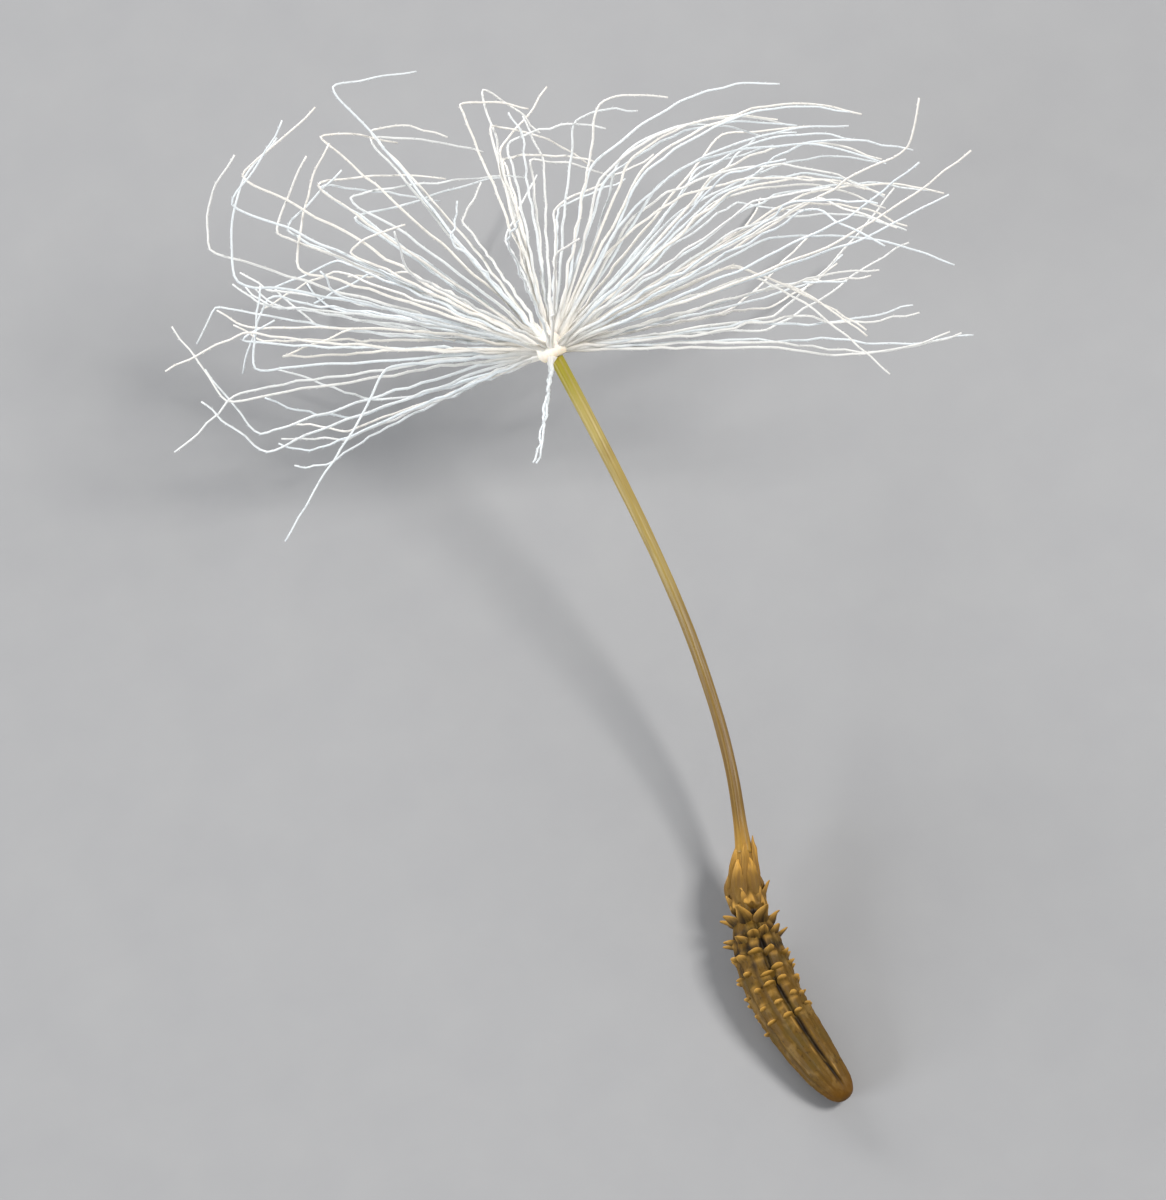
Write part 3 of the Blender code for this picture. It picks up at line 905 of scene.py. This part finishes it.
# %% The beak's shape
BEAK_RADIUS_LOW = 0.084 * MM
BEAK_RADIUS_TOP = 0.105 * MM
BEAK_FLARE = 0.054 * MM
BEAK_FLARE_LENGTH = 0.35 * MM
BEAK_SIDES = 32
BEAK_STEPS = 170
BEAK_RIBS = 6
BEAK_RIB_HEIGHT = 0.004 * MM
BEAK_TWIST = 0.5
BEAK_UNEVEN = 0.006 * MM
BEAK_LUMPS = 1.4
# The beak ends where the disc sits on it, at this share of the disc's half height from its middle.
HUB_HALF_HEIGHT = 0.20 * MM
HUB_SEAT = 0.7


def beak_rings(end):
    """The rings of the stalk, from the achene's cone to the disc."""
    start = ACHENE_LENGTH + JOINT_GAP
    rings = []
    for step in range(BEAK_STEPS + 1):
        share = step / BEAK_STEPS
        run = share * (end - start)
        centre, direction = seed.at(start + run)
        side, top = side_and_top(direction)
        radius = blend(BEAK_RADIUS_LOW, BEAK_RADIUS_TOP, share)
        radius += BEAK_FLARE * math.exp(-run / BEAK_FLARE_LENGTH)
        ring = []
        for angle in circle(BEAK_SIDES):
            out = math.cos(angle) * side + math.sin(angle) * top
            ribs = BEAK_RIB_HEIGHT * math.cos(BEAK_RIBS * angle + BEAK_TWIST * run / MM)
            spot = Vector((math.cos(angle), math.sin(angle), BEAK_LUMPS * run / MM))
            reach = radius + ribs + BEAK_UNEVEN * noise.noise(spot)
            skin = Vector((math.cos(angle) * radius, math.sin(angle) * radius, run)) / MM
            ring.append(Dot(centre + out * reach, skin, 0.5 + ribs / BEAK_RIB_HEIGHT / 2, 0.0))
        rings.append(ring)
    return rings


# %% The beak's material
GOLD_FOOT = paint(158, 117, 42)
BROWN_STALK = paint(110, 80, 24)
DULL_STALK = paint(128, 102, 46)
STRAW_STALK = paint(160, 138, 76)
PALE_STALK = paint(176, 158, 92)
OLIVE_TOP = paint(152, 142, 42)
# Partly the stalk's own pale stripes, partly a painted highlight on the rib crests.
RIB_STRIPE_AND_HIGHLIGHT = paint(178, 150, 80)
DARK_FIBRE = paint(96, 68, 18)
BROWN_BLOTCH = paint(122, 86, 30)


def beak_look(length):
    look = Look("beak", Roughness=0.42, Specular_IOR_Level=0.3)
    skin = look.attribute("skin", "Vector")
    rib = look.attribute("shade")
    along = look.along(skin)
    fibres = look.cloud(look.stretch(skin, (30.0, 30.0, 0.9)), scale=1.0, detail=3.0)
    blotches = look.cloud(skin, scale=1.3, detail=3.0)
    colour = look.mix(along.step(0.1, 0.8), GOLD_FOOT, BROWN_STALK)
    colour = look.mix(along.step(1.6, 3.6), colour, DULL_STALK)
    colour = look.mix(along.step(3.4, 4.8), colour, STRAW_STALK)
    colour = look.mix(along.step(length - 2.2, length - 1.2), colour, PALE_STALK)
    colour = look.mix(along.step(length - 1.1, length - 0.2), colour, OLIVE_TOP)
    # Lighter along the rib crests: partly the stalk's own stripes, partly painted highlight.
    colour = look.mix(rib * 0.2, colour, RIB_STRIPE_AND_HIGHLIGHT)
    colour = look.mix(fibres.step(0.5, 0.75) * 0.5, colour, DARK_FIBRE)
    colour = look.mix(blotches.step(0.55, 0.75) * 0.3, colour, BROWN_BLOTCH)
    rough = 0.3 + fibres * 0.25
    return look.finish(fibres, distance=0.008 * MM, Base_Color=colour, Roughness=rough)


beak_end = seed.length - HUB_SEAT * HUB_HALF_HEIGHT
beak_length = (beak_end - ACHENE_LENGTH) / MM
add_piece("beak_striped", tube(beak_rings(beak_end)), beak_look(beak_length), "beak")
print("beak:", round(beak_length, 2), "mm long")

# %% [markdown]
# ## The pappus's disc
#
# All the bristles grow from a small cream disc on the end of the beak. A flattened sphere is cut
# where it sits on the beak, as in the CAD model, and gets low flutes that run out to the bristles.
# The side away from the beak bulges more, because the crowded feet of the bristles fill it up.

# %% The disc
HUB_RADIUS = 0.24 * MM
HUB_SEGMENTS = 64
HUB_RINGS = 32
HUB_FLUTES = 17
HUB_FLUTE_DEPTH = 0.03
HUB_UNEVEN = 0.03
HUB_LUMPS = 9.0
HUB_DOME = 1.7
CREAM_BACK = paint(232, 216, 184)
CREAM_FRONT = paint(250, 242, 230)
CREAM_GRAIN = paint(232, 216, 186)


def disc(seat, centre, ahead):
    """The flattened sphere with its flutes, cut flat at its seat."""
    bm = new_mesh()
    bmesh.ops.create_uvsphere(bm, u_segments=HUB_SEGMENTS, v_segments=HUB_RINGS, radius=HUB_RADIUS)
    skin = bm.verts.layers.float_vector["skin"]
    for vert in bm.verts:
        angle = math.atan2(vert.co.y, vert.co.x)
        rim = math.hypot(vert.co.x, vert.co.y) / HUB_RADIUS
        flute = 1 - HUB_FLUTE_DEPTH * rim * (0.5 + 0.5 * math.cos(HUB_FLUTES * angle))
        uneven = 1 + HUB_UNEVEN * noise.noise(vert.co / MM * HUB_LUMPS)
        vert.co *= flute * uneven
        if vert.co.z > 0:
            vert.co.z *= HUB_DOME
        vert[skin] = vert.co / MM
    turn = ahead.to_track_quat("Z", "Y").to_matrix().to_4x4()
    flatten = Matrix.Diagonal((1, 1, HUB_HALF_HEIGHT / HUB_RADIUS, 1))
    bmesh.ops.transform(bm, matrix=Matrix.Translation(centre) @ turn @ flatten, verts=bm.verts)
    cut_flat(bm, seat, ahead)
    return bm


def disc_look():
    look = Look("disc", Roughness=0.6, Subsurface_Weight=0.15, Subsurface_Scale=0.05 * MM)
    skin = look.attribute("skin", "Vector")
    grain = look.cloud(skin, scale=22.0, detail=3.0)
    height = look.along(skin)
    colour = look.mix(height.step(-0.2, 0.0), CREAM_BACK, CREAM_FRONT)
    colour = look.mix(grain.step(0.5, 0.8) * 0.3, colour, CREAM_GRAIN)
    return look.finish(grain, distance=0.01 * MM, Base_Color=colour)


hub, ahead = seed.at(seed.length)
add_piece("pappus_disc", disc(seed.at(beak_end + JOINT_GAP)[0], hub, ahead), disc_look(), "pappus")

# %% [markdown]
# ## The bristles
#
# The bristles stand in clumps, and the fan isn't even: on the left most of them hook at their
# ends, on the right they arch over. The table gives each clump, in degrees and millimetres. It is
# the CAD model's own table, with the same seed, so each fine hair follows its solid one.

# %% The clumps of bristles
# Each row is a clump: its swing to the side, its lift, how many bristles it has, their spread and
# their length, the share of the length at which they kink, how far they turn there to the side and
# upwards, and how much they bow from there to the tip. Angles are in degrees, lengths in mm.
CLUMPS = (
    (-81, -42, 2, 4, 6.0, 0.80, 20, 8, 0),
    (-87, -24, 4, 5, 4.7, 0.85, 30, 0, 0),
    (-74, -12, 3, 3, 6.0, 0.80, 68, 0, 0),
    (-71, 8, 1, 0, 5.8, 0.44, -50, 0, 0),
    (-67, 4, 2, 2, 6.0, 0.84, -30, 0, 0),
    (-66, 0, 1, 0, 6.0, 0.78, 110, 0, 0),
    (-60, 2, 2, 2, 5.0, 0.80, 160, 0, 0),
    (-53, -16, 2, 4, 5.9, 0.84, -75, 0, 0),
    (-51, -12, 7, 4, 5.1, 0.88, 30, -10, 0),
    (-48, 0, 2, 2, 6.8, 0.70, 72, 0, 65),
    (-47, 4, 1, 0, 6.2, 0.68, 85, 0, 30),
    (-42, 4, 2, 2, 5.4, 0.74, 100, 0, 10),
    (-39, 8, 1, 0, 4.4, 0.80, 120, 0, 20),
    (-37, 4, 2, 1, 6.7, 0.78, 112, 0, 0),
    (-28, 0, 4, 3, 6.4, 0.64, 140, -30, 10),
    (-16, 2, 3, 2, 6.2, 0.68, 135, -30, 20),
    (-10, 10, 2, 4, 2.9, 0.78, 60, 0, 0),
    (-9, 4, 1, 0, 5.4, 0.76, 115, 0, 60),
    (11, 0, 3, 2, 4.9, 0.70, 125, -20, 30),
    (18, -4, 3, 3, 4.5, 0.66, 90, -10, 40),
    (25, 0, 2, 2, 3.7, 0.80, -25, 0, 0),
    (38, 2, 2, 1, 4.6, 0.76, 65, 0, 40),
    (44, 4, 3, 2, 6.0, 0.48, 34, 0, 60),
    (51, 2, 2, 2, 5.2, 0.62, 35, 0, 60),
    (57, 4, 3, 2, 6.2, 0.44, 28, 0, 60),
    (60, 6, 3, 3, 6.1, 0.34, 15, 0, 75),
    (72, -4, 5, 5, 6.1, 0.48, 20, 0, 50),
    (83, 0, 7, 6, 6.2, 0.60, 22, 0, 40),
    (90, 10, 1, 0, 6.9, 0.82, -52, 0, 20),
    (88, 20, 2, 5, 6.2, 0.70, 55, 0, 10),
    (93, 4, 3, 4, 5.5, 0.62, 40, 0, 25),
    (97, 14, 3, 3, 6.8, 0.74, -10, 0, 0),
    (103, -8, 3, 3, 4.8, 0.80, 10, 0, 0),
    (110, -14, 2, 2, 6.2, 0.55, -36, 0, 0),
    (113, -4, 3, 2, 6.2, 0.55, 8, 0, -30),
    (111, 0, 2, 1, 5.3, 0.55, 16, 0, -24),
    (-45, 52, 2, 12, 6.0, 0.80, 40, 0, 0),
    (15, 66, 2, 18, 6.0, 0.80, 60, 0, 0),
    (75, 48, 3, 14, 6.0, 0.80, 30, 0, 10),
    (-145, 50, 2, 3, 2.6, 0.85, 10, 0, 0),
    (104, -48, 3, 5, 6.3, 0.85, -20, 20, 0),
    (-32, -42, 4, 9, 5.8, 0.80, -50, 20, 0),
    (25, -52, 4, 14, 5.4, 0.78, 60, 30, 0),
    (66, -40, 4, 9, 6.2, 0.80, 40, 10, 0),
)
# The two bristles that carry the pappus. All the others stay clear of the surface.
FEET = (
    (-45, -47, 1, 0, 6.3, 0.85, 20, 0, 0),
    (85, -53, 1, 0, 6.3, 0.85, -20, 0, 0),
)
BRISTLE_STEPS = 9
BRISTLE_ROOT_RADIUS = 0.027 * MM
BRISTLE_TIP_RADIUS = 0.015 * MM
BRISTLE_SUNK = 0.10 * MM
ROOT_WANDER = 14.0
BRISTLE_LENGTHS = (0.94, 1.06)
KINK_JITTER = 0.6
KINK_TURNS = (0.85, 1.10)
CRINKLE = 3.0
TIP_CRINKLE = 6.0
FOOT_HEIGHT = 0.027 * MM
BRISTLE_CLEARANCE = 0.40 * MM
PAPPUS_SEED = 5
FAN_ROLL = -13.0


class Fan:
    """The pappus's own directions, which follow the end of the beak."""

    def __init__(self):
        self.centre, self.ahead = seed.at(seed.length)
        roll = Matrix.Rotation(math.radians(FAN_ROLL), 3, self.ahead)
        side, top = side_and_top(self.ahead)
        self.side, self.top = roll @ side, roll @ top

    def direction(self, swing, lift):
        """The direction at these two angles, in degrees."""
        swing, lift = math.radians(swing), math.radians(lift)
        level = math.cos(swing) * self.ahead + math.sin(swing) * self.side
        return math.cos(lift) * level + math.sin(lift) * self.top


def bristle_lines(fan):
    """The centre line of every bristle, clump by clump, as the CAD model draws them."""
    draw = random.Random(PAPPUS_SEED)
    lines = []
    for clump in (*CLUMPS, *FEET):
        swing, lift, count, spread, length, kink_at, kink, kink_lift, bow = clump
        lowest = FOOT_HEIGHT if clump in FEET else BRISTLE_CLEARANCE
        for _ in range(count):
            heading = swing + draw.uniform(-spread, spread)
            pitch = lift + draw.uniform(-spread, spread)
            long = length * draw.uniform(*BRISTLE_LENGTHS) * MM
            kink_step = round(kink_at * BRISTLE_STEPS + draw.uniform(-KINK_JITTER, KINK_JITTER))
            root = fan.direction(
                heading + draw.uniform(-ROOT_WANDER, ROOT_WANDER),
                pitch + draw.uniform(-ROOT_WANDER, ROOT_WANDER),
            )
            points = [fan.centre + root * BRISTLE_SUNK]
            for step in range(BRISTLE_STEPS):
                crinkle = TIP_CRINKLE if step > kink_step else CRINKLE
                heading += draw.uniform(-crinkle, crinkle)
                pitch += draw.uniform(-crinkle, crinkle)
                if step == kink_step:
                    heading += kink * draw.uniform(*KINK_TURNS)
                    pitch += kink_lift
                elif step > kink_step:
                    heading += bow / (BRISTLE_STEPS - kink_step)
                point = points[-1] + fan.direction(heading, pitch) * long / BRISTLE_STEPS
                point.z = max(point.z, lowest)
                points.append(point)
            lines.append(points)
    return lines


# %% [markdown]
# The solid bristles are straight between their few points. The fine ones pass through the same
# points but are rounded between them, and a second, smaller zigzag is laid on them: a dry bristle
# is crinkled every fifth of a millimetre or so. It is round, thickest where it joins the disc and
# thinner towards its tip, and set with tiny barbs that point forwards.

# %% One fine bristle
BRISTLE_SIDES = 6
WAVE_STEPS = 3
ROUNDNESS = 0.75
FINE_STEPS = 2
WAVE_SIZES = (0.014 * MM, 0.032 * MM)
ROOT_SWELL = 0.050 * MM
ROOT_SWELL_LENGTH = 0.26 * MM
FIRST_BARB = 3
BARB_LENGTH = 0.050 * MM
BARB_RADIUS = 0.008 * MM
BARB_FOOT = 0.6
BARB_SPREAD = 32.0
FINE_SEED = 23


def fine_line(points, draw):
    """A crinkled line that passes through the CAD model's points."""
    size = draw.uniform(*WAVE_SIZES)
    rounded = smooth_curve(points, WAVE_STEPS)
    waved = [points[0]]
    for number, (start, end) in enumerate(zip(points, points[1:])):
        for step in range(1, WAVE_STEPS):
            straight = start.lerp(end, step / WAVE_STEPS)
            point = straight.lerp(rounded[number * WAVE_STEPS + step], ROUNDNESS)
            waved.append(point + Vector([draw.uniform(-size, size) for _ in range(3)]))
        waved.append(end)
    line = smooth_curve(waved, FINE_STEPS)
    for point in line:
        point.z = max(point.z, BRISTLE_TIP_RADIUS)
    return line


def add_bristle(whole, points, draw):
    """One bristle with its barbs, joined to the others."""
    line = fine_line(points, draw)
    tone = draw.random()
    ahead = line[1] - line[0]
    side = ahead.orthogonal().normalized()
    rings = []
    barbs = []
    for index, point in enumerate(line):
        turned = line[min(index + 1, len(line) - 1)] - line[max(index - 1, 0)]
        side = ahead.rotation_difference(turned) @ side
        ahead = turned
        other = ahead.cross(side).normalized()
        share = index / (len(line) - 1)
        radius = blend(BRISTLE_ROOT_RADIUS, BRISTLE_TIP_RADIUS, share)
        radius += ROOT_SWELL * math.exp(-(point - line[0]).length / ROOT_SWELL_LENGTH)
        ring = []
        for angle in circle(BRISTLE_SIDES):
            out = math.cos(angle) * side + math.sin(angle) * other
            skin = Vector((out.x * radius, out.y * radius, (point - line[0]).length)) / MM
            ring.append(Dot(point + out * radius, skin, tone, share))
        rings.append(ring)
        if FIRST_BARB <= index < len(line) - 1:
            angle = draw.uniform(0, math.tau)
            out = math.cos(angle) * side + math.sin(angle) * other
            barbs.append((point, ahead.normalized(), out, radius, share))
    absorb(whole, tube(rings))
    for point, forwards, out, radius, share in barbs:
        add_barb(whole, point, forwards, out, radius, tone, share)


def add_barb(whole, point, forwards, out, radius, tone, share):
    """A tiny three-sided thorn that leans away from its bristle."""
    lean = math.radians(BARB_SPREAD)
    points = math.cos(lean) * forwards + math.sin(lean) * out
    turn = points.to_track_quat("Z", "Y").to_matrix().to_4x4()
    middle = point + out * radius * BARB_FOOT + points * BARB_LENGTH / 2
    barb = new_mesh()
    bmesh.ops.create_cone(
        barb,
        cap_ends=True,
        segments=3,
        radius1=BARB_RADIUS,
        radius2=0,
        depth=BARB_LENGTH,
        matrix=Matrix.Translation(middle) @ turn,
    )
    for vert in barb.verts:
        note(barb, vert, Dot(vert.co.copy(), Vector((0, 0, 1)), tone, share))
    absorb(whole, barb)


# %% [markdown]
# ## The bristles' colour
#
# A bristle is clear and nearly colourless, so it looks white where it catches light, a little
# cream near the disc, and cool grey or faint beige along its length. Each bristle drew its own
# tone, which is stored in its shade note and mixes between a cool and a warm white.

# %% The bristles
COOL_WHITE = (0.73, 0.77, 0.79, 1)
WARM_WHITE = (0.82, 0.78, 0.72, 1)
CREAM_ROOT = (0.86, 0.81, 0.73, 1)
DULL_GRAIN = (0.55, 0.53, 0.49, 1)


def bristle_look():
    look = Look(
        "bristles",
        Roughness=0.32,
        Subsurface_Weight=0.4,
        Subsurface_Scale=0.05 * MM,
        Subsurface_Radius=(1.0, 1.0, 1.0),
    )
    tone = look.attribute("shade")
    share = look.attribute("tip")
    grain = look.cloud(look.attribute("skin", "Vector"), scale=9.0, detail=2.0)
    colour = look.mix(tone.step(0.2, 0.9), COOL_WHITE, WARM_WHITE)
    colour = look.mix(1 - share.step(0.0, 0.20), colour, CREAM_ROOT)
    colour = look.mix(grain.step(0.55, 0.8) * 0.4, colour, DULL_GRAIN)
    return look.finish(grain, distance=0.003 * MM, Base_Color=colour)


lines = bristle_lines(Fan())
fine_draw = random.Random(FINE_SEED)
hairs = new_mesh()
for points in lines:
    add_bristle(hairs, points, fine_draw)
add_piece("pappus_bristles", hairs, bristle_look(), "pappus")
print(len(lines), "bristles")
